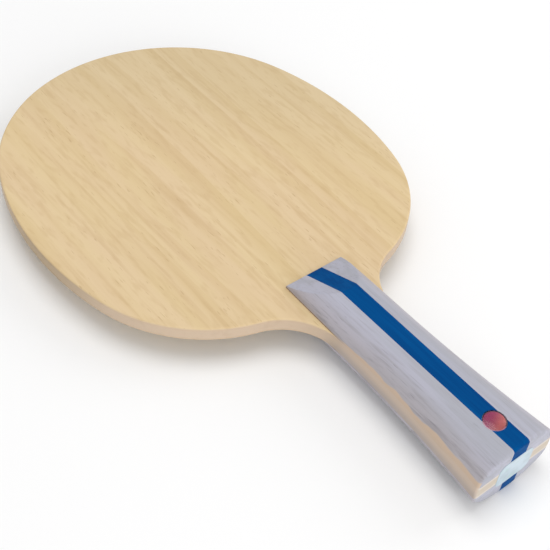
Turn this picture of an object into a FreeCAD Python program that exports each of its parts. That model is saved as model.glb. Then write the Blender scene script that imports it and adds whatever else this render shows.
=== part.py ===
import FreeCAD, Part
import math
import os

# Table tennis blade: a bare wooden bat without rubber sheets, in millimetres.
# The flat blade is five plies. Two three-piece scales are glued to its tongue as the handle.
# Origin at the centre of the bounding box. +Y towards the tip of the head, +Z out of the front face.

Vector = FreeCAD.Vector

# Overall sizes
OVERALL_LENGTH = 256.0
HEAD_WIDTH = 150.0
HANDLE_LENGTH = 100.0          # butt end to the front edge of the scales

# Plies, from the outside in
FACE_PLY = 0.6
MEDIAL_PLY = 0.6
CORE_PLY = 3.5
RIM_ROUNDING = 0.7             # radius along the outer edges of the head

# Blade outline: arcs that meet tangentially, from the tip down one side
TIP_RADIUS = 72.0
SIDE_RADIUS = 126.4
SIDE_END_ANGLE = 105.6         # degrees from +Y, where the side arc passes into the shoulder arc
SHOULDER_RADIUS = 57.6
NECK_RADIUS = 23.7

# Handle: half-elliptical scales on the tongue, narrowest at the neck and flared to the butt
NECK_HALF_WIDTH = 13.25
FRONT_HALF_WIDTH = 12.9
BUTT_HALF_WIDTH = 17.3
SCALE_HEIGHT_FRONT = 8.4       # above the blade face, at the top of the ramp
SCALE_HEIGHT_BUTT = 8.8
RAMP_LENGTH = 19.0
RAMP_LIP = 0.9                 # height of the scale's front edge above the blade face
BUTT_ROUNDING = 1.2
STRIPE_WIDTH = 7.1

# Lens badge, let into the front scale near the butt
BADGE_FROM_BUTT = 12.0
BADGE_RADIUS = 4.05
BADGE_CLEARANCE = 0.05
FOIL_THICKNESS = 0.15
DOME_WALL = 0.3                # height of the dome's upright rim
DOME_RISE = 0.35               # height of its cap above the rim

# Label on the butt end
LABEL_WIDTH = 15.5
LABEL_HEIGHT = 11.5
LABEL_CORNER = 3.0
LABEL_THICKNESS = 0.12

# Rubber sheets end this far in front of the scales
RUBBER_GAP = 1.5

# Derived places
BLADE_HALF = FACE_PLY + MEDIAL_PLY + CORE_PLY / 2
TIP_Y = OVERALL_LENGTH / 2
END_Y = -OVERALL_LENGTH / 2
WOOD_END_Y = END_Y + LABEL_THICKNESS
SCALE_FRONT_Y = END_Y + HANDLE_LENGTH
RAMP_TOP_Y = SCALE_FRONT_Y - RAMP_LENGTH
FACE_SPLIT_Y = SCALE_FRONT_Y + RUBBER_GAP
REACH = OVERALL_LENGTH         # large enough to pass right through the object


def towards(angle, length):
    """A vector in the blade's plane, at an angle in radians from +Y towards +X."""
    return Vector(length * math.sin(angle), length * math.cos(angle), 0)


def box_between(low, high):
    size = high - low
    return Part.makeBox(size.x, size.y, size.z, low)


def slab(z_low, z_high):
    return box_between(Vector(-REACH, -REACH, z_low), Vector(REACH, REACH, z_high))


# Centres of the outline's arcs, each on the line through the joint with the arc before it
SIDE_START = math.asin((SIDE_RADIUS - HEAD_WIDTH / 2) / (SIDE_RADIUS - TIP_RADIUS))
SIDE_END = math.radians(SIDE_END_ANGLE)
TIP_CENTRE = Vector(0, TIP_Y - TIP_RADIUS, 0)
SIDE_CENTRE = TIP_CENTRE - towards(SIDE_START, SIDE_RADIUS - TIP_RADIUS)
SHOULDER_CENTRE = SIDE_CENTRE + towards(SIDE_END, SIDE_RADIUS - SHOULDER_RADIUS)
NECK_CENTRE_X = NECK_HALF_WIDTH + NECK_RADIUS
NECK_DROP = math.sqrt((SHOULDER_RADIUS + NECK_RADIUS) ** 2 - (NECK_CENTRE_X - SHOULDER_CENTRE.x) ** 2)
NECK_CENTRE = Vector(NECK_CENTRE_X, SHOULDER_CENTRE.y - NECK_DROP, 0)
SHOULDER_END = math.atan2(NECK_CENTRE.x - SHOULDER_CENTRE.x, NECK_CENTRE.y - SHOULDER_CENTRE.y)
NECK_Y = NECK_CENTRE.y


def arc(centre, radius, start, end):
    points = [centre + towards(angle, radius) for angle in (start, (start + end) / 2, end)]
    return Part.Arc(*points).toShape()


def head_outline():
    """Closed outline of the head, ending in a straight line across the neck."""
    right = [
        arc(TIP_CENTRE, TIP_RADIUS, 0, SIDE_START),
        arc(SIDE_CENTRE, SIDE_RADIUS, SIDE_START, SIDE_END),
        arc(SHOULDER_CENTRE, SHOULDER_RADIUS, SIDE_END, SHOULDER_END),
        arc(NECK_CENTRE, NECK_RADIUS, SHOULDER_END + math.pi, 1.5 * math.pi),
    ]
    left = [edge.mirror(Vector(0, 0, 0), Vector(1, 0, 0)) for edge in right]
    across = Part.makeLine(Vector(NECK_HALF_WIDTH, NECK_Y, 0), Vector(-NECK_HALF_WIDTH, NECK_Y, 0))
    edges = Part.sortEdges(right + [across] + left)[0]
    return Part.Wire(edges)


def handle_half_width(y):
    """Half-width of the handle: one arc flares from the neck to the butt, one tapers to the front."""
    if y <= NECK_Y:
        run = NECK_Y - WOOD_END_Y
        spread = BUTT_HALF_WIDTH - NECK_HALF_WIDTH
    else:
        run = SCALE_FRONT_Y - NECK_Y
        spread = FRONT_HALF_WIDTH - NECK_HALF_WIDTH
    radius = (run ** 2 + spread ** 2) / (2 * abs(spread))
    sag = radius - math.sqrt(radius ** 2 - (y - NECK_Y) ** 2)
    return NECK_HALF_WIDTH + math.copysign(sag, spread)


def scale_height(y):
    """Height of the scale's crown above the blade face."""
    part_way = (RAMP_TOP_Y - y) / (RAMP_TOP_Y - WOOD_END_Y)
    return SCALE_HEIGHT_FRONT + part_way * (SCALE_HEIGHT_BUTT - SCALE_HEIGHT_FRONT)


def half_ellipse(y, up):
    """Upper (up = 1) or lower (up = -1) half-ellipse of the handle's cross-section at y."""
    base = Vector(0, y, up * BLADE_HALF)
    across = Vector(handle_half_width(y), 0, 0)
    crown = Vector(0, 0, up * scale_height(y))
    ellipse = Part.Ellipse(base + across, base + crown, base)
    ends = sorted(ellipse.parameter(base + step) for step in (across, -across))
    one_way = Part.Edge(ellipse, ends[0], ends[1])
    other_way = Part.Edge(ellipse, ends[1], ends[0] + 2 * math.pi)
    return max((one_way, other_way), key=lambda edge: up * edge.CenterOfMass.z)


def handle_section(y):
    """Closed cross-section: two half-ellipses joined by the straight edges of the tongue."""
    edges = [half_ellipse(y, 1), half_ellipse(y, -1)]
    for x in (-handle_half_width(y), handle_half_width(y)):
        edges.append(Part.makeLine(Vector(x, y, -BLADE_HALF), Vector(x, y, BLADE_HALF)))
    edges = Part.sortEdges(edges)[0]
    return Part.Wire(edges)


def handle_body():
    """The whole handle as one solid, with its butt edges rounded."""
    flare_steps = 5
    taper_steps = 3
    stations = [WOOD_END_Y + step * (NECK_Y - WOOD_END_Y) / flare_steps for step in range(flare_steps)]
    stations += [NECK_Y + step * (SCALE_FRONT_Y - NECK_Y) / taper_steps for step in range(taper_steps + 1)]
    body = Part.makeLoft([handle_section(y) for y in stations], True, False)
    butt_edges = [edge for edge in body.Edges if edge.BoundBox.YMax < WOOD_END_Y + 0.01]
    return body.makeFillet(BUTT_ROUNDING, butt_edges)


def blade_body(handle):
    """The blade before it is parted into plies: the head, and the tongue inside the handle."""
    head = Part.Face(head_outline()).extrude(Vector(0, 0, 2 * BLADE_HALF))
    head.translate(Vector(0, 0, -BLADE_HALF))
    rim_edges = [edge for edge in head.Edges if edge.Curve.TypeId == "Part::GeomCircle"]
    head = head.makeFillet(RIM_ROUNDING, rim_edges)
    behind_neck = box_between(Vector(-REACH, -REACH, -BLADE_HALF), Vector(REACH, NECK_Y, BLADE_HALF))
    return head.fuse(handle.common(behind_neck)).removeSplitter()


def ply(blade, z_low, z_high):
    """One ply. Its flat faces stay split where the rubber sheets end."""
    layer = blade.common(slab(z_low, z_high))
    playing_area = box_between(Vector(-REACH, FACE_SPLIT_Y, -REACH), Vector(REACH, REACH, REACH))
    return layer.common(playing_area).fuse(layer.cut(playing_area))


def front_scale(handle):
    """The whole front scale, with the ramp cut at its front end."""
    scale = handle.common(slab(BLADE_HALF, REACH))
    slope = (SCALE_HEIGHT_FRONT - RAMP_LIP) / RAMP_LENGTH
    overshoot = 2.0
    low = Vector(-REACH, SCALE_FRONT_Y + overshoot, BLADE_HALF + RAMP_LIP - slope * overshoot)
    high = Vector(-REACH, RAMP_TOP_Y - overshoot, BLADE_HALF + SCALE_HEIGHT_FRONT + slope * overshoot)
    corners = [low, high, Vector(-REACH, high.y, REACH), Vector(-REACH, low.y, REACH), low]
    above_ramp = Part.Face(Part.makePolygon(corners)).extrude(Vector(2 * REACH, 0, 0))
    return scale.cut(above_ramp)


def scale_pieces(scale, side):
    """A scale sawn lengthways into its left piece, the blue stripe and its right piece."""
    half = STRIPE_WIDTH / 2
    spans = {"scale_left": (-REACH, -half), "stripe": (-half, half), "scale_right": (half, REACH)}
    pieces = {}
    for name, (x_low, x_high) in spans.items():
        span = box_between(Vector(x_low, -REACH, -REACH), Vector(x_high, REACH, REACH))
        pieces[side + "_" + name] = scale.common(span)
    return pieces


# The badge's recess is as deep as the foil and the dome together, under the crown of the scale
BADGE_Y = END_Y + BADGE_FROM_BUTT
BADGE_TOP = BLADE_HALF + scale_height(BADGE_Y)
BADGE_FLOOR = BADGE_TOP - DOME_RISE - DOME_WALL - FOIL_THICKNESS


def badge_cylinder(radius, z_low, z_high):
    return Part.makeCylinder(radius, z_high - z_low, Vector(0, BADGE_Y, z_low))


def badge_dome():
    """Clear lens: an upright rim under a shallow spherical cap."""
    ball_radius = (BADGE_RADIUS ** 2 + DOME_RISE ** 2) / (2 * DOME_RISE)
    ball = Part.makeSphere(ball_radius, Vector(0, BADGE_Y, BADGE_TOP - ball_radius))
    return badge_cylinder(BADGE_RADIUS, BADGE_FLOOR + FOIL_THICKNESS, BADGE_TOP).common(ball)


def butt_label():
    """Thin film label with rounded corners on the flat of the butt end."""
    low = Vector(-LABEL_WIDTH / 2, END_Y, -LABEL_HEIGHT / 2)
    high = Vector(LABEL_WIDTH / 2, WOOD_END_Y, LABEL_HEIGHT / 2)
    sheet = box_between(low, high)
    corners = [edge for edge in sheet.Edges if edge.BoundBox.YLength > LABEL_THICKNESS / 2]
    return sheet.makeFillet(LABEL_CORNER, corners)


def all_pieces():
    handle = handle_body()
    blade = blade_body(handle)
    core_half = CORE_PLY / 2
    medial_top = core_half + MEDIAL_PLY
    pieces = {
        "face_ply_front": ply(blade, medial_top, BLADE_HALF),
        "medial_ply_front": ply(blade, core_half, medial_top),
        "core_ply": ply(blade, -core_half, core_half),
        "medial_ply_back": ply(blade, -medial_top, -core_half),
        "face_ply_back": ply(blade, -BLADE_HALF, -medial_top),
    }
    front = front_scale(handle)
    back = front.mirror(Vector(0, 0, 0), Vector(0, 0, 1))
    recess = badge_cylinder(BADGE_RADIUS + BADGE_CLEARANCE, BADGE_FLOOR, REACH)
    pieces.update(scale_pieces(front.cut(recess), "front"))
    pieces.update(scale_pieces(back, "back"))
    pieces["badge_foil"] = badge_cylinder(BADGE_RADIUS, BADGE_FLOOR, BADGE_FLOOR + FOIL_THICKNESS)
    pieces["badge_dome"] = badge_dome()
    pieces["butt_label"] = butt_label()
    return pieces


os.makedirs("parts", exist_ok=True)
for name, shape in all_pieces().items():
    shape.exportStep("parts/" + name + ".step")
    print(name, len(shape.Solids), "solid,", round(shape.Volume, 1), "mm3, valid:", shape.isValid())
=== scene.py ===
import math

import bmesh
import bpy
from mathutils import Matrix, Vector


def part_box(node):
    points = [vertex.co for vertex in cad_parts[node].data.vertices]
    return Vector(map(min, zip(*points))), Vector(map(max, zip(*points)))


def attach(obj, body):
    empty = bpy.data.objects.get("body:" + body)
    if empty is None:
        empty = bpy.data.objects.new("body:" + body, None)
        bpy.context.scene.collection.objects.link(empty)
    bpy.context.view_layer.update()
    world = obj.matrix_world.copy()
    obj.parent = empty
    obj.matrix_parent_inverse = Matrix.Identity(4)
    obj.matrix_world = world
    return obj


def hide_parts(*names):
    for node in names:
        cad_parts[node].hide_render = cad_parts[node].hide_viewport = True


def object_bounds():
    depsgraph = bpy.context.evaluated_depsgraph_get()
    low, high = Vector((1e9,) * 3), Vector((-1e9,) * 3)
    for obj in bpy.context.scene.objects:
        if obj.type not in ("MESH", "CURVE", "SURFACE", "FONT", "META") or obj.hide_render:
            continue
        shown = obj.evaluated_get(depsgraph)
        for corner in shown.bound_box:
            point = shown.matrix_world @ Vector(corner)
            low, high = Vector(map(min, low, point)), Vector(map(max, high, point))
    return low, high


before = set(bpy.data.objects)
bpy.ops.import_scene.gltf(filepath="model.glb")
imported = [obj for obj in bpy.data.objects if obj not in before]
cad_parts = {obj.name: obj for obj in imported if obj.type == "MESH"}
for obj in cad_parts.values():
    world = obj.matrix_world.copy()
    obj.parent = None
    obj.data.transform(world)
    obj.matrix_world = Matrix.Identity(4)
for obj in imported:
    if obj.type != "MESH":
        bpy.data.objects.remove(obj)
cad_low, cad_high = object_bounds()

# A bare table tennis blade: five plies, two three-piece handle scales, a lens badge and a butt label.
# Lengths are metres in the frame's axes: +Y to the tip, +Z out of the front face.
MM = 0.001

# ---------------------------------------------------------------- sizes read from the frame
BLADE_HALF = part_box("face_ply_front")[1].z
TIP_Y = cad_high.y
WOOD_END_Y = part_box("core_ply")[0].y
HEAD_HALF_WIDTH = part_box("core_ply")[1].x
SCALE_FRONT_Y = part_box("front_stripe")[1].y
STRIPE_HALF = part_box("front_stripe")[1].x
BADGE_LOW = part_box("badge_foil")[0]
BADGE_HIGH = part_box("badge_dome")[1]
BADGE_Y = (BADGE_LOW.y + BADGE_HIGH.y) / 2
BADGE_RADIUS = (BADGE_HIGH.x - BADGE_LOW.x) / 2
FOIL_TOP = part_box("badge_foil")[1].z

# ---------------------------------------------------------------- driving dimensions
# Outline of the blade: arcs that meet tangentially, from the tip down one side
TIP_RADIUS = 72.0 * MM
SIDE_RADIUS = 126.4 * MM
SIDE_END = math.radians(105.6)
SHOULDER_RADIUS = 57.6 * MM
NECK_RADIUS = 23.7 * MM
RIM_ROUNDING = 0.7 * MM
RIM_FADE = 12.0 * MM            # ahead of the neck, where the rim's rounding runs out

# Handle: half-elliptical scales, narrowest at the neck
NECK_HALF_WIDTH = 13.25 * MM
FRONT_HALF_WIDTH = 12.9 * MM
BUTT_HALF_WIDTH = 17.3 * MM
SCALE_HEIGHT_BUTT = 8.8 * MM
SCALE_HEIGHT_FRONT = 8.4 * MM
RAMP_LENGTH = 19.0 * MM
RAMP_LIP = 0.9 * MM
RAMP_TOP_Y = SCALE_FRONT_Y - RAMP_LENGTH
BUTT_ROUNDING = 1.2 * MM

# Badge and label
DOME_RISE = 0.35 * MM
BOND = 0.02 * MM                # the dome's foot sinks this far into the foil, which is this much smaller
LABEL_CORNER = 3.0 * MM

# Fineness of the meshes
RIM_SPACING = 0.8 * MM          # between points round the head and neck
GRIP_SPACING = 1.5 * MM         # between points along the handle
RAMP_SPACING = 0.25 * MM        # between points along the ramp
ROUND_SEGMENTS = 96             # round the badge
WELD = 0.001 * MM               # points closer than this are one


# ---------------------------------------------------------------- outline of the blade
def towards(angle, length):
    """A vector in the blade's plane, at an angle from +Y towards +X."""
    return Vector((length * math.sin(angle), length * math.cos(angle)))


SIDE_START = math.asin((SIDE_RADIUS - HEAD_HALF_WIDTH) / (SIDE_RADIUS - TIP_RADIUS))
TIP_CENTRE = Vector((0, TIP_Y - TIP_RADIUS))
SIDE_CENTRE = TIP_CENTRE - towards(SIDE_START, SIDE_RADIUS - TIP_RADIUS)
SHOULDER_CENTRE = SIDE_CENTRE + towards(SIDE_END, SIDE_RADIUS - SHOULDER_RADIUS)
NECK_CENTRE_X = NECK_HALF_WIDTH + NECK_RADIUS
NECK_DROP = math.sqrt((SHOULDER_RADIUS + NECK_RADIUS) ** 2 - (NECK_CENTRE_X - SHOULDER_CENTRE.x) ** 2)
NECK_CENTRE = Vector((NECK_CENTRE_X, SHOULDER_CENTRE.y - NECK_DROP))
SHOULDER_END = math.atan2(NECK_CENTRE.x - SHOULDER_CENTRE.x, NECK_CENTRE.y - SHOULDER_CENTRE.y)
NECK_Y = NECK_CENTRE.y


def arc_points(centre, radius, start, end):
    """Points along an arc between two angles from +Y, without its last point."""
    count = max(2, round(abs(end - start) * radius / RIM_SPACING))
    return [centre + towards(start + (end - start) * step / count, radius) for step in range(count)]


def end_inset(distance, radius):
    """How far a rounded edge stands back, at a distance from the end that it rounds."""
    short = max(0.0, radius - distance)
    return radius - math.sqrt(radius ** 2 - short ** 2)


def handle_half_width(y):
    """Half-width of the handle: one arc flares from the neck to the butt, one tapers to the front."""
    run = NECK_Y - WOOD_END_Y
    spread = BUTT_HALF_WIDTH - NECK_HALF_WIDTH
    if y > NECK_Y:
        run = SCALE_FRONT_Y - NECK_Y
        spread = FRONT_HALF_WIDTH - NECK_HALF_WIDTH
    radius = (run ** 2 + spread ** 2) / (2 * abs(spread))
    sag = radius - math.sqrt(radius ** 2 - (y - NECK_Y) ** 2)
    return NECK_HALF_WIDTH + math.copysign(sag, spread)


def rounding_stations(radius, steps):
    """Distances from an end through its rounding, closer together where it turns fastest."""
    return [radius * (1 - math.cos(math.pi / 2 * step / steps)) for step in range(steps + 1)]


BUTT_STATIONS = rounding_stations(BUTT_ROUNDING, steps=8)
RIM_STATIONS = rounding_stations(RIM_ROUNDING, steps=7)


def blade_outline():
    """Right half of the outline, from the tip to the butt end, then mirrored into a closed ring."""
    right = arc_points(TIP_CENTRE, TIP_RADIUS, 0, SIDE_START)
    right += arc_points(SIDE_CENTRE, SIDE_RADIUS, SIDE_START, SIDE_END)
    right += arc_points(SHOULDER_CENTRE, SHOULDER_RADIUS, SIDE_END, SHOULDER_END)
    right += arc_points(NECK_CENTRE, NECK_RADIUS, SHOULDER_END + math.pi, 1.5 * math.pi)
    flare_end = WOOD_END_Y + BUTT_ROUNDING
    flare_count = round((NECK_Y - flare_end) / GRIP_SPACING)
    for step in range(flare_count):
        y = NECK_Y + (flare_end - NECK_Y) * step / flare_count
        right.append(Vector((handle_half_width(y), y)))
    for distance in reversed(BUTT_STATIONS):
        y = WOOD_END_Y + distance
        right.append(Vector((handle_half_width(y) - end_inset(distance, BUTT_ROUNDING), y)))
    left = [Vector((-p.x, p.y)) for p in reversed(right[1:])]
    return right + left


def outward_normals(ring):
    """At each point of a ring, the direction at right angles to the line through its two neighbours."""
    normals = []
    for index, point in enumerate(ring):
        along = ring[(index + 1) % len(ring)] - ring[index - 1]
        normals.append(Vector((-along.y, along.x)).normalized())
    return normals


OUTLINE = blade_outline()
NORMALS = outward_normals(OUTLINE)


def smooth_step(value):
    """0 up to 0, 1 from 1, and smooth between them."""
    value = min(1.0, max(0.0, value))
    return value * value * (3 - 2 * value)


def rim_share(y):
    """1 round the head, falling to 0 at the neck, where the edge runs into the handle."""
    return smooth_step((y - NECK_Y) / RIM_FADE)


# ---------------------------------------------------------------- mesh helpers
def new_object(name, mesh_data, material, nodes):
    """A finished piece that rides on the frame and stands for its CAD nodes."""
    mesh = bpy.data.meshes.new(name)
    mesh_data.to_mesh(mesh)
    mesh_data.free()
    mesh.materials.append(material)
    obj = bpy.data.objects.new(name, mesh)
    bpy.context.scene.collection.objects.link(obj)
    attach(obj, "root")
    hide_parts(*nodes)


def shade(mesh_data):
    """Smooth shading, with sharper edges left crisp."""
    limit = math.radians(35)
    bmesh.ops.recalc_face_normals(mesh_data, faces=mesh_data.faces)
    for face in mesh_data.faces:
        face.smooth = True
    for edge in mesh_data.edges:
        edge.smooth = len(edge.link_faces) == 2 and edge.calc_face_angle() < limit


def bridge(mesh_data, lower, upper):
    """A band of faces between two rings with the same number of points."""
    for index in range(len(lower)):
        after = (index + 1) % len(lower)
        mesh_data.faces.new((lower[index], lower[after], upper[after], upper[index]))


# ---------------------------------------------------------------- plies
def rim_inset(z):
    """Rounding of the whole blade's edge at height z."""
    return end_inset(BLADE_HALF - abs(z), RIM_ROUNDING)


def ply_levels(z_low, z_high):
    """Heights of a ply's rings: its two faces, and steps where the rim's rounding passes through it."""
    levels = {z_low, z_high}
    for distance in RIM_STATIONS:
        height = BLADE_HALF - distance
        levels.update(z for z in (height, -height) if z_low < z < z_high)
    return sorted(levels)


def build_ply(node, material):
    """A ply as stacked rings of the outline, set in where the blade's edge is rounded."""
    z_low, z_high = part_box(node)[0].z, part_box(node)[1].z
    flat_border = 0.5 * MM
    levels = ply_levels(z_low, z_high)
    places = [(z_low, rim_inset(z_low) + flat_border)]
    places += [(z, rim_inset(z)) for z in levels]
    places += [(z_high, rim_inset(z_high) + flat_border)]
    mesh_data = bmesh.new()
    rings = []
    for z, inset in places:
        ring = []
        for point, normal in zip(OUTLINE, NORMALS):
            spot = point - normal * (inset * rim_share(point.y))
            ring.append(mesh_data.verts.new((spot.x, spot.y, z)))
        rings.append(ring)
    for lower, upper in zip(rings, rings[1:]):
        bridge(mesh_data, lower, upper)
    mesh_data.faces.new(reversed(rings[0]))
    mesh_data.faces.new(rings[-1])
    bmesh.ops.remove_doubles(mesh_data, verts=mesh_data.verts, dist=WELD)
    shade(mesh_data)
    new_object(node + "_wood", mesh_data, material, [node])


# ---------------------------------------------------------------- scales
def scale_height(y):
    """Height of the scale's crest above the blade's face, without the ramp."""
    part_way = (RAMP_TOP_Y - y) / (RAMP_TOP_Y - WOOD_END_Y)
    return SCALE_HEIGHT_FRONT + part_way * (SCALE_HEIGHT_BUTT - SCALE_HEIGHT_FRONT)


def ramp_height(y):
    """Height of the ramp's plane above the blade's face."""
    slope = (SCALE_HEIGHT_FRONT - RAMP_LIP) / RAMP_LENGTH
    return RAMP_LIP + slope * (SCALE_FRONT_Y - y)


def soft_minimum(first, second, blend):
    """The lower of two heights, with the corner between them rounded."""
    overlap = max(blend - abs(first - second), 0.0) / blend
    return min(first, second) - overlap * overlap * blend / 4


def scale_stations():
    """Places along the handle: through the butt rounding, along the grip, and closely over the ramp."""
    before_ramp = 2 * MM
    grip_start = WOOD_END_Y + BUTT_ROUNDING
    grip_length = RAMP_TOP_Y - grip_start
    places = [WOOD_END_Y + distance for distance in BUTT_STATIONS]
    grip_count = round(grip_length / GRIP_SPACING)
    places += [grip_start + grip_length * step / grip_count for step in range(1, grip_count)]
    ramp_count = round((RAMP_LENGTH + before_ramp) / RAMP_SPACING)
    places += [SCALE_FRONT_Y - (ramp_count - step) * RAMP_SPACING for step in range(ramp_count + 1)]
    return sorted(set(places))


def build_scale_body(up):
    """One whole scale: half-ellipses along the handle, cut by the ramp, on a flat base. up is 1 or -1."""
    columns = 120
    crest_blend = 0.12 * MM
    lip_rounding = 0.25 * MM
    mesh_data = bmesh.new()
    rows = []
    for y in scale_stations():
        end_set = end_inset(y - WOOD_END_Y, BUTT_ROUNDING)
        half = handle_half_width(y) - end_set
        crown = scale_height(y) - end_set
        lip_set = end_inset(SCALE_FRONT_Y - y, lip_rounding)
        row = []
        for column in range(columns + 1):
            angle = math.pi * column / columns
            height = soft_minimum(crown * math.sin(angle), ramp_height(y), crest_blend) - lip_set
            height = max(height, 0.0)
            row.append(mesh_data.verts.new((half * math.cos(angle), y, up * (BLADE_HALF + height))))
        rows.append(row)
    for near, far in zip(rows, rows[1:]):
        bridge(mesh_data, near, far)
    mesh_data.faces.new(rows[0])
    mesh_data.faces.new(reversed(rows[-1]))
    bmesh.ops.remove_doubles(mesh_data, verts=mesh_data.verts, dist=2 * WELD)
    bmesh.ops.recalc_face_normals(mesh_data, faces=mesh_data.faces)
    return mesh_data


def cylinder(radius, z_low, z_high):
    """An upright cylinder on the badge's axis."""
    mesh_data = bmesh.new()
    place = Matrix.Translation((0, BADGE_Y, (z_low + z_high) / 2))
    bmesh.ops.create_cone(mesh_data, cap_ends=True, segments=ROUND_SEGMENTS, radius1=radius, radius2=radius,
                          depth=z_high - z_low, matrix=place)
    return mesh_data


def cut_recess(mesh_data):
    """The badge's recess, cut out of the front scale."""
    clearance = 0.05 * MM
    tool_height = 3 * MM
    body = bpy.data.meshes.new("scale_body")
    mesh_data.to_mesh(body)
    mesh_data.free()
    tool = bpy.data.meshes.new("recess_tool")
    tool_data = cylinder(BADGE_RADIUS + clearance, BADGE_LOW.z, BADGE_LOW.z + tool_height)
    tool_data.to_mesh(tool)
    tool_data.free()
    body_object = bpy.data.objects.new("scale_body", body)
    tool_object = bpy.data.objects.new("recess_tool", tool)
    for obj in (body_object, tool_object):
        bpy.context.scene.collection.objects.link(obj)
    cut = body_object.modifiers.new("recess", "BOOLEAN")
    cut.operation = "DIFFERENCE"
    cut.solver = "EXACT"
    cut.object = tool_object
    result = bmesh.new()
    result.from_object(body_object, bpy.context.evaluated_depsgraph_get())
    bpy.data.objects.remove(body_object)
    bpy.data.objects.remove(tool_object)
    return result


def kept_between(whole, x_low, x_high):
    """The part of a closed mesh between two planes across X, closed again where it is cut."""
    part = whole.copy()
    for x, direction in ((x_low, -1), (x_high, 1)):
        if x is None:
            continue
        everything = part.verts[:] + part.edges[:] + part.faces[:]
        cut = bmesh.ops.bisect_plane(part, geom=everything, plane_co=(x, 0, 0), plane_no=(direction, 0, 0),
                                     clear_outer=True, dist=WELD)
        rim = [element for element in cut["geom_cut"] if isinstance(element, bmesh.types.BMEdge)]
        bmesh.ops.edgeloop_fill(part, edges=rim)
    return part


def build_scale(side, up, grey, blue):
    """The three pieces of one scale, parted at the edges of the stripe."""
    whole = build_scale_body(up)
    if side == "front":
        whole = cut_recess(whole)
    spans = (("scale_left", None, -STRIPE_HALF, grey, "grey_stained_wood"),
             ("stripe", -STRIPE_HALF, STRIPE_HALF, blue, "blue_stained_wood"),
             ("scale_right", STRIPE_HALF, None, grey, "grey_stained_wood"))
    for name, x_low, x_high, material, slot in spans:
        part = kept_between(whole, x_low, x_high)
        shade(part)
        node = side + "_" + name
        new_object(node + "_wood", part, material, [node])
    whole.free()


# ---------------------------------------------------------------- badge and label
def dome_profile():
    """Distances from the badge's axis and heights, from the dome's foot up to the ring below its top."""
    rings = 14
    wall_lean = 0.06 * MM
    ball = (BADGE_RADIUS ** 2 + DOME_RISE ** 2) / (2 * DOME_RISE)
    profile = [(BADGE_RADIUS, FOIL_TOP - BOND), (BADGE_RADIUS - wall_lean, BADGE_HIGH.z - DOME_RISE)]
    for step in range(1, rings):
        reach = BADGE_RADIUS * math.cos(math.pi / 2 * step / rings)
        profile.append((reach, BADGE_HIGH.z - ball + math.sqrt(ball ** 2 - reach ** 2)))
    return profile


def build_badge(printed, clear):
    """Printed foil disc under a clear dome, which sinks into it a little so that no air is left between."""
    foil = cylinder(BADGE_RADIUS - BOND, BADGE_LOW.z, FOIL_TOP)
    shade(foil)
    new_object("badge_foil_disc", foil, printed, ["badge_foil"])
    dome = bmesh.new()
    turns = [2 * math.pi * step / ROUND_SEGMENTS for step in range(ROUND_SEGMENTS)]
    loops = []
    for reach, z in dome_profile():
        spots = [(reach * math.cos(turn), BADGE_Y + reach * math.sin(turn), z) for turn in turns]
        loops.append([dome.verts.new(spot) for spot in spots])
    for lower, upper in zip(loops, loops[1:]):
        bridge(dome, lower, upper)
    dome.faces.new(reversed(loops[0]))
    dome.faces.new(loops[-1])
    shade(dome)
    new_object("badge_dome_lens", dome, clear, ["badge_dome"])


def build_label(material):
    """Rounded film on the butt end."""
    low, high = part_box("butt_label")
    steps = 10
    ring = []
    for quarter, (side_x, side_z) in enumerate(((1, 1), (-1, 1), (-1, -1), (1, -1))):
        centre = Vector((side_x * (high.x - LABEL_CORNER), side_z * (high.z - LABEL_CORNER)))
        for step in range(steps + 1):
            angle = math.pi / 2 * (quarter + step / steps)
            ring.append(centre + LABEL_CORNER * Vector((math.cos(angle), math.sin(angle))))
    mesh_data = bmesh.new()
    back = [mesh_data.verts.new((x, high.y, z)) for x, z in ring]
    front = [mesh_data.verts.new((x, low.y, z)) for x, z in ring]
    bridge(mesh_data, back, front)
    mesh_data.faces.new(reversed(back))
    mesh_data.faces.new(front)
    shade(mesh_data)
    new_object("butt_label_film", mesh_data, material, ["butt_label"])


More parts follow.
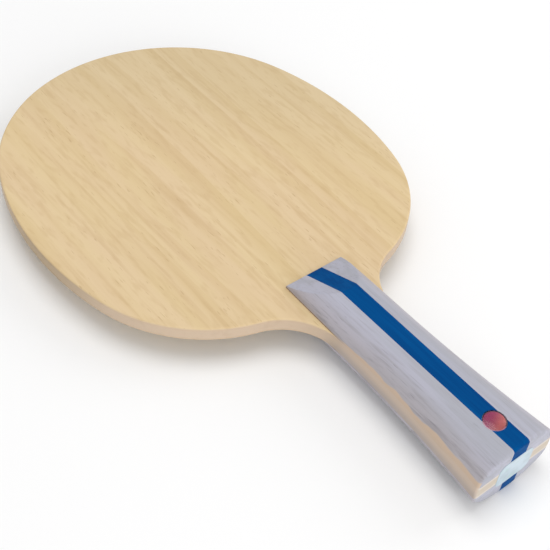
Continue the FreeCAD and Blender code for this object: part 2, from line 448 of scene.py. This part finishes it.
# ---------------------------------------------------------------- material helpers
class Shader:
    """A material's node tree, with one short method for each kind of node used here."""

    def __init__(self, name):
        self.material = bpy.data.materials.new(name)
        self.material.use_nodes = True
        self.nodes = self.material.node_tree.nodes
        self.links = self.material.node_tree.links
        self.surface = self.nodes["Principled BSDF"]
        coordinates = self.nodes.new("ShaderNodeTexCoord")
        self.place = self.vector_math("SCALE", coordinates.outputs["Object"], scale=1 / MM)

    def set(self, socket, value):
        """Link a node's output to the socket, or set a constant on it."""
        if isinstance(value, bpy.types.NodeSocket):
            self.links.new(value, socket)
        else:
            socket.default_value = value

    def vector_math(self, operation, first, second=None, scale=None):
        node = self.nodes.new("ShaderNodeVectorMath")
        node.operation = operation
        self.set(node.inputs[0], first)
        if second is not None:
            self.set(node.inputs[1], second)
        if scale is not None:
            self.set(node.inputs["Scale"], scale)
        return node.outputs[0]

    def math(self, operation, first, second=0.0, third=0.0):
        node = self.nodes.new("ShaderNodeMath")
        node.operation = operation
        for socket, value in zip(node.inputs, (first, second, third)):
            self.set(socket, value)
        return node.outputs[0]

    def noise(self, place, sizes, detail=2.0, roughness=0.5):
        """Noise, about 0.5 on average, whose lumps have the given sizes along each axis, in millimetres."""
        node = self.nodes.new("ShaderNodeTexNoise")
        stretched = self.vector_math("MULTIPLY", place, tuple(1 / size for size in sizes))
        self.set(node.inputs["Vector"], stretched)
        node.inputs["Scale"].default_value = 1.0
        node.inputs["Detail"].default_value = detail
        node.inputs["Roughness"].default_value = roughness
        return node.outputs["Fac"]

    def between(self, value, low, high):
        """0 at low, 1 at high, and smooth between them. Where low is above high, it falls."""
        node = self.nodes.new("ShaderNodeMapRange")
        node.interpolation_type = "SMOOTHSTEP"
        for name, entry in (("Value", value), ("From Min", low), ("From Max", high)):
            self.set(node.inputs[name], entry)
        return node.outputs["Result"]

    def grade(self, share, start, end):
        """A number that goes from start at a share of 0 to end at 1."""
        return self.math("MULTIPLY_ADD", share, end - start, start)

    def mix(self, share, first, second, blend="MIX"):
        """The first colour at a share of 0, and the second at 1."""
        node = self.nodes.new("ShaderNodeMix")
        node.data_type = "RGBA"
        node.blend_type = blend
        self.set(node.inputs["Factor"], share)
        self.set(node.inputs["A"], first)
        self.set(node.inputs["B"], second)
        return node.outputs["Result"]

    def fade(self, colour, other, pattern, low, high, share=1.0):
        """colour, fading into other where the pattern runs from low to high, as far as the share allows."""
        amount = self.math("MULTIPLY", self.between(pattern, low, high), share)
        return self.mix(amount, colour, other)

    def axis(self, vector, name):
        node = self.nodes.new("ShaderNodeSeparateXYZ")
        self.set(node.inputs[0], vector)
        return node.outputs[name]

    def normal(self):
        return self.nodes.new("ShaderNodeNewGeometry").outputs["Normal"]

    def bump(self, height, distance, strength):
        node = self.nodes.new("ShaderNodeBump")
        node.inputs["Strength"].default_value = strength
        node.inputs["Distance"].default_value = distance
        self.set(node.inputs["Height"], height)
        self.links.new(node.outputs["Normal"], self.surface.inputs["Normal"])

    def finish(self, colour, roughness, **constants):
        self.set(self.surface.inputs["Base Color"], colour)
        self.set(self.surface.inputs["Roughness"], roughness)
        for name, value in constants.items():
            self.surface.inputs[name.replace("_", " ")].default_value = value
        return self.material


def srgb(red, green, blue):
    """A colour given as 0 to 255 screen values, as the linear values that a shader takes."""
    def linear(value):
        value /= 255
        return value / 12.92 if value <= 0.04045 else ((value + 0.055) / 1.055) ** 2.4
    return (linear(red), linear(green), linear(blue), 1.0)


# ---------------------------------------------------------------- wood
# Places in millimetres, as a shader's coordinates give them
NECK = NECK_Y / MM
BUTT = WOOD_END_Y / MM
FACE = BLADE_HALF / MM


def wavering(shader, amount):
    """Coordinates whose grain wanders a little sideways along its length."""
    drift = shader.noise(shader.place, (45, 90, 45), detail=2.0)
    sideways = shader.math("MULTIPLY_ADD", drift, amount, -amount / 2)
    offset = shader.nodes.new("ShaderNodeCombineXYZ")
    shader.links.new(sideways, offset.inputs["X"])
    return shader.vector_math("ADD", shader.place, offset.outputs[0])


def growth_rings(shader, place, spacing):
    """Bands along the grain: 1 at one side of each, falling smoothly to 0 at its other side."""
    shift = 3.0
    uneven = shader.noise(place, (24, 400, 24), detail=1.0)
    even = shader.math("MULTIPLY", shader.axis(place, "X"), 1 / spacing)
    phase = shader.math("MULTIPLY_ADD", uneven, shift, even)
    return shader.between(shader.math("FRACT", phase), 1.0, 0.0)


def dashes(shader, place, sizes, threshold):
    """Separate short marks along the grain, gathered in patches. A higher threshold leaves fewer."""
    swing = 0.25
    softness = 0.07
    dash = shader.noise(place, sizes, detail=1.0, roughness=0.4)
    patch = shader.noise(place, (8, 26, 8), detail=1.0)
    limit = shader.math("MULTIPLY_ADD", patch, -swing, threshold + swing / 2)
    return shader.between(shader.math("SUBTRACT", dash, limit), 0.0, softness)


def tinted(shader, place, colour):
    """Patches along the grain lean towards yellow or pink, and painted shade makes the wood greyer towards
    the tip's right, the far side, where less light falls.
    """
    yellow, pink, grey = srgb(255, 254, 250), srgb(254, 251, 252), srgb(245, 246, 247)
    patches = shader.noise(place, (9, 60, 9), detail=1.0)
    tint = shader.mix(shader.between(patches, 0.34, 0.66), yellow, pink)
    # Painted shade: a faint grey multiply darkens the head towards its far side, the tip's right.
    slant = shader.math("ADD", shader.axis(place, "X"), shader.axis(place, "Y"))
    tint = shader.mix(shader.between(slant, 35, 145), tint, grey)
    return shader.mix(1.0, colour, tint, "MULTIPLY")


def edge_colour(shader, side_facing_shade, end_facing_light, butt):
    """Cut edges of the plies: tan round the head, greyer along the handle, cream on the butt end. Round the
    head the edge carries painted shade where it faces sideways and painted light where it faces along the
    blade; along the handle painted shade darkens it towards the back face.
    """
    along = shader.axis(shader.place, "Y")
    across = shader.math("ABSOLUTE", shader.axis(shader.normal(), "Y"))
    height = shader.axis(shader.place, "Z")
    handle_front, handle_back_shaded = srgb(205, 186, 170), srgb(180, 169, 163)
    # Painted shade: the handle's cut edge darkens towards the back face, where less light reaches it.
    handle = shader.fade(handle_front, handle_back_shaded, height, low=1.8, high=-2.4)
    # Painted shade and light: the rim is darker where it faces sideways and paler where it faces along the
    # blade.
    colour = shader.fade(side_facing_shade, end_facing_light, across, low=0.02, high=0.35)
    colour = shader.fade(colour, handle, along, NECK + RIM_FADE / MM, NECK - 4, share=0.9)
    return shader.fade(colour, butt, along, BUTT + 0.6, BUTT)


def veneer_material(name, surface, edges):
    """Pale straight-grained veneer, plainer on its cut edges.

    surface holds the colours of its light, mid and dark wood and of its flecks. edges holds those of its cut
    edge where it faces sideways, darkened there as painted shade, where it faces along the blade, lightened
    there as painted light, and on the butt.
    """
    light, mid, dark, fleck = surface
    shader = Shader(name)
    place = wavering(shader, 2.5)
    rings = growth_rings(shader, place, 12.0)
    broad = shader.noise(place, (6, 180, 6), detail=2.0)
    streak = shader.noise(place, (2.4, 60, 2.4), detail=2.0)
    strokes = shader.noise(place, (1.8, 8, 1.8), detail=1.0)
    marks = dashes(shader, place, (0.5, 5.5, 0.5), 0.70)
    colour = shader.fade(mid, light, broad, low=0.34, high=0.66, share=0.7)
    colour = shader.fade(colour, light, rings, low=0.0, high=1.0, share=0.6)
    colour = shader.fade(colour, dark, streak, low=0.50, high=0.74, share=0.34)
    colour = shader.fade(colour, dark, strokes, low=0.48, high=0.76, share=0.30)
    colour = shader.fade(colour, fleck, marks, low=0.0, high=1.0, share=0.42)
    colour = tinted(shader, place, colour)
    edge = edge_colour(shader, *edges)
    edge = shader.fade(edge, dark, streak, low=0.50, high=0.74, share=0.25)
    upright = shader.math("ABSOLUTE", shader.axis(shader.normal(), "Z"))
    colour = shader.fade(edge, colour, upright, low=0.15, high=0.9)
    grain = shader.math("MULTIPLY_ADD", marks, -0.8, shader.math("MULTIPLY", strokes, -0.3))
    shader.bump(grain, 0.04 * MM, strength=0.5)
    return shader.finish(colour, 0.62, Specular_IOR_Level=0.3)


def bare_fringe(shader, colour, bare):
    """The front stain stops short of the blade, so a wavy band of bare wood shows low on its flanks."""
    lowest = -1.2
    wave = 4.4
    growth_to_butt = 1.3
    height = shader.math("SUBTRACT", shader.axis(shader.place, "Z"), FACE)
    along = shader.axis(shader.place, "Y")
    swell = shader.between(along, NECK, BUTT)
    wander = shader.noise(shader.place, (60, 13, 60), detail=2.0)
    wavy = shader.math("MULTIPLY_ADD", wander, wave, lowest)
    reach = shader.math("MULTIPLY_ADD", swell, growth_to_butt, wavy)
    bare_low = shader.between(shader.math("SUBTRACT", height, reach), 0.35, -0.25)
    front = shader.math("GREATER_THAN", height, -0.01)
    flank = shader.between(shader.math("ABSOLUTE", shader.axis(shader.normal(), "X")), 0.35, 0.6)
    behind_neck = shader.between(along, NECK + 6, NECK - 4)
    share = bare_low
    for part in (front, flank, behind_neck):
        share = shader.math("MULTIPLY", share, part)
    return shader.mix(share, colour, bare)


def painted_joint_shade(shader, colour):
    """Painted shade: a fine dark line where the foot of the scale meets the blade, ahead of the neck,
    standing in for the contact shadow along that joint.
    """
    from_middle = shader.math("ABSOLUTE", shader.axis(shader.place, "Z"))
    low = shader.between(shader.math("SUBTRACT", from_middle, FACE), 0.75, 0.25)
    ahead = shader.between(shader.axis(shader.place, "Y"), NECK - 4, NECK + 6)
    joint_shade_colour = srgb(146, 124, 108)
    return shader.mix(shader.math("MULTIPLY", low, ahead), colour, joint_shade_colour)


def grey_wood_material():
    """Grey-lavender stained wood: growth layers lie flat, so the flanks show them close together."""
    plain, pale, warm = srgb(167, 168, 178), srgb(178, 178, 192), srgb(181, 171, 172)
    streaked, lined, marked = srgb(146, 141, 145), srgb(140, 137, 142), srgb(124, 120, 128)
    bare = srgb(202, 179, 157)
    shader = Shader("grey_stained_wood")
    place = wavering(shader, 6.0)
    broad = shader.noise(place, (5, 80, 2.5), detail=2.0)
    streak = shader.noise(place, (1.3, 20, 1.5), detail=3.0, roughness=0.6)
    fine = shader.noise(place, (0.5, 12, 1.1), detail=2.0, roughness=0.6)
    marks = dashes(shader, place, (0.45, 6.5, 0.45), 0.73)
    flank = shader.between(shader.math("ABSOLUTE", shader.axis(shader.normal(), "X")), 0.25, 0.85)
    streak_share = shader.grade(flank, 0.24, 0.58)
    fine_share = shader.grade(flank, 0.36, 0.76)
    mark_share = shader.grade(flank, 0.40, 0.70)
    colour = shader.fade(plain, pale, broad, low=0.34, high=0.66)
    colour = shader.mix(shader.math("MULTIPLY", flank, 0.5), colour, warm)
    colour = shader.fade(colour, streaked, streak, low=0.48, high=0.72, share=streak_share)
    colour = shader.fade(colour, lined, fine, low=0.54, high=0.78, share=fine_share)
    colour = shader.fade(colour, marked, marks, low=0.0, high=1.0, share=mark_share)
    colour = bare_fringe(shader, colour, bare)
    # Painted shade: a dark line along the joint of scale and blade.
    colour = painted_joint_shade(shader, colour)
    grain = shader.math("MULTIPLY_ADD", marks, -0.7, shader.math("MULTIPLY", streak, 0.5))
    shader.bump(grain, 0.05 * MM, strength=0.6)
    return shader.finish(colour, 0.48, Specular_IOR_Level=0.35)


def blue_wood_material():
    """Blue stained wood, evenly coloured and almost without gloss."""
    deep, bright, lined = srgb(0, 66, 126), srgb(0, 79, 141), srgb(0, 54, 108)
    shader = Shader("blue_stained_wood")
    place = wavering(shader, 3.0)
    broad = shader.noise(place, (3, 60, 3), detail=3.0, roughness=0.6)
    fine = shader.noise(place, (0.5, 22, 0.5), detail=2.0, roughness=0.6)
    colour = shader.fade(deep, bright, broad, low=0.3, high=0.7)
    colour = shader.fade(colour, lined, fine, low=0.55, high=0.8, share=0.45)
    shader.bump(fine, 0.03 * MM, strength=0.4)
    return shader.finish(colour, 0.5, Specular_IOR_Level=0.025)


# ---------------------------------------------------------------- badge and label materials
def foil_material():
    """Printed foil: magenta fading to orange. Its thin border is dark on one side, a painted shadow of the
    recess wall, and pale on the other, a painted highlight where the dome's rim catches light.
    """
    edge = BADGE_RADIUS / MM
    magenta, orange = srgb(168, 0, 92), srgb(212, 102, 98)
    recess_shadow, rim_highlight = srgb(70, 14, 56), srgb(232, 168, 196)
    shader = Shader("badge_foil")
    centred = shader.vector_math("SUBTRACT", shader.place, (0, BADGE_Y / MM, 0))
    x, y = shader.axis(centred, "X"), shader.axis(centred, "Y")
    slant = shader.math("MULTIPLY_ADD", x, 0.4, shader.math("MULTIPLY", y, -0.92))
    colour = shader.mix(shader.between(slant, -2.0, 3.0), magenta, orange)
    distance = shader.math("SQRT", shader.math("MULTIPLY_ADD", x, x, shader.math("MULTIPLY", y, y)))
    # Painted shadow and highlight: a thin ring at the foil's edge, dark where the recess wall shades it,
    # pale where the dome's rim catches light.
    border = shader.between(distance, edge - 0.55, edge - 0.30)
    side = shader.math("MULTIPLY_ADD", x, 1.2, y)
    rim_shadow_and_highlight = shader.mix(shader.between(side, -3.0, -1.0), rim_highlight, recess_shadow)
    colour = shader.mix(border, colour, rim_shadow_and_highlight)
    return shader.finish(colour, 0.32, Metallic=0.2)


def dome_material():
    """Clear resin, a little dull."""
    shader = Shader("clear_resin")
    return shader.finish((1.0, 1.0, 1.0, 1.0), 0.2, Transmission_Weight=1.0, IOR=1.47)


def label_material():
    """Pearly film, pale blue with faint greenish clouds."""
    dull, pale, greenish = srgb(170, 190, 200), srgb(190, 208, 220), srgb(166, 204, 198)
    shader = Shader("label_film")
    clouds = shader.noise(shader.place, (6, 6, 5), detail=2.0)
    tints = shader.noise(shader.place, (3.5, 3.5, 2.5), detail=1.0)
    colour = shader.fade(dull, pale, clouds, low=0.35, high=0.65)
    colour = shader.fade(colour, greenish, tints, low=0.5, high=0.7, share=0.5)
    return shader.finish(colour, 0.28, Metallic=0.1, Coat_Weight=0.4, Coat_Roughness=0.1)


# ---------------------------------------------------------------- stage
def build_floor():
    """A large sheet of pale paper, at the object's lowest point."""
    reach = 6.0
    mesh = bpy.data.meshes.new("floor")
    corners = [(x * reach, y * reach, cad_low.z) for x, y in ((-1, -1), (1, -1), (1, 1), (-1, 1))]
    mesh.from_pydata(corners, [], [(0, 1, 2, 3)])
    shader = Shader("floor_paper")
    mesh.materials.append(shader.finish((0.93, 0.93, 0.93, 1.0), 0.9, Specular_IOR_Level=0.1))
    floor = bpy.data.objects.new("floor", mesh)
    bpy.context.scene.collection.objects.link(floor)


def add_light(name, place, aim, size, power):
    """A round soft lamp that faces a point."""
    data = bpy.data.lights.new(name, "AREA")
    data.shape = "DISK"
    data.size = size
    data.energy = power
    lamp = bpy.data.objects.new(name, data)
    lamp.location = place
    lamp.rotation_euler = (Vector(aim) - Vector(place)).to_track_quat("-Z", "Y").to_euler()
    bpy.context.scene.collection.objects.link(lamp)


def light_scene():
    """A white tent of light, with soft lamps above, in front of the butt and, weakly, at the right side."""
    world = bpy.data.worlds.new("studio")
    world.use_nodes = True
    background = world.node_tree.nodes["Background"]
    background.inputs["Color"].default_value = (1.0, 1.0, 1.0, 1.0)
    background.inputs["Strength"].default_value = 0.60
    bpy.context.scene.world = world
    add_light("overhead", place=(0.2, 0.35, 1.9), aim=(0, 0, 0), size=1.4, power=13)
    add_light("side", place=(1.3, -0.2, 0.8), aim=(0, -0.02, 0), size=0.9, power=3.5)
    add_light("front", place=(-0.25, -1.3, 0.4), aim=(0, -0.02, 0), size=1.0, power=7.5)
    bpy.context.scene.view_settings.view_transform = "Standard"


def add_camera():
    """Camera above the butt's left side, turned a little about its line of sight."""
    place = Vector((-187.58, -213.98, 274.61)) * MM
    heading = math.radians(42.25)       # from +Y towards +X
    dip = math.radians(46.17)           # below the horizontal
    roll = math.radians(5.44)           # about the line of sight
    data = bpy.data.cameras.new("camera")
    data.sensor_width = 36.0
    data.lens = 68.316
    data.clip_start = 0.01
    camera = bpy.data.objects.new("camera", data)
    turn = Matrix.Rotation(-heading, 4, "Z") @ Matrix.Rotation(math.pi / 2 - dip, 4, "X")
    camera.matrix_world = Matrix.Translation(place) @ turn @ Matrix.Rotation(roll, 4, "Z")
    bpy.context.scene.collection.objects.link(camera)
    bpy.context.scene.camera = camera


# ---------------------------------------------------------------- the object
def build_object():
    """Every piece of the blade, with its material."""
    # Each edges tuple: cut edge facing sideways (painted shade), facing along the blade (painted light), and
    # on the butt.
    face = veneer_material(
        "face_veneer",
        surface=(srgb(223, 200, 160), srgb(214, 189, 145), srgb(198, 169, 124), srgb(178, 146, 104)),
        edges=(srgb(184, 163, 133), srgb(210, 188, 158), srgb(211, 202, 193)))
    medial = veneer_material(
        "medial_veneer",
        surface=(srgb(222, 196, 164), srgb(214, 188, 156), srgb(186, 160, 130), srgb(170, 140, 110)),
        edges=(srgb(178, 157, 128), srgb(204, 180, 154), srgb(208, 198, 187)))
    core = veneer_material(
        "core_wood",
        surface=(srgb(226, 204, 176), srgb(218, 194, 166), srgb(186, 162, 134), srgb(176, 148, 122)),
        edges=(srgb(184, 163, 134), srgb(205, 183, 159), srgb(199, 187, 171)))
    plies = (("face_ply_front", face, "face_veneer"), ("medial_ply_front", medial, "medial_veneer"),
             ("core_ply", core, "core_wood"),
             ("medial_ply_back", medial, "medial_veneer"), ("face_ply_back", face, "face_veneer"))
    for node, material, slot in plies:
        build_ply(node, material)
    grey = grey_wood_material()
    blue = blue_wood_material()
    build_scale("front", 1, grey, blue)
    build_scale("back", -1, grey, blue)
    build_badge(foil_material(), dome_material())
    build_label(label_material())


build_object()
build_floor()
light_scene()
add_camera()
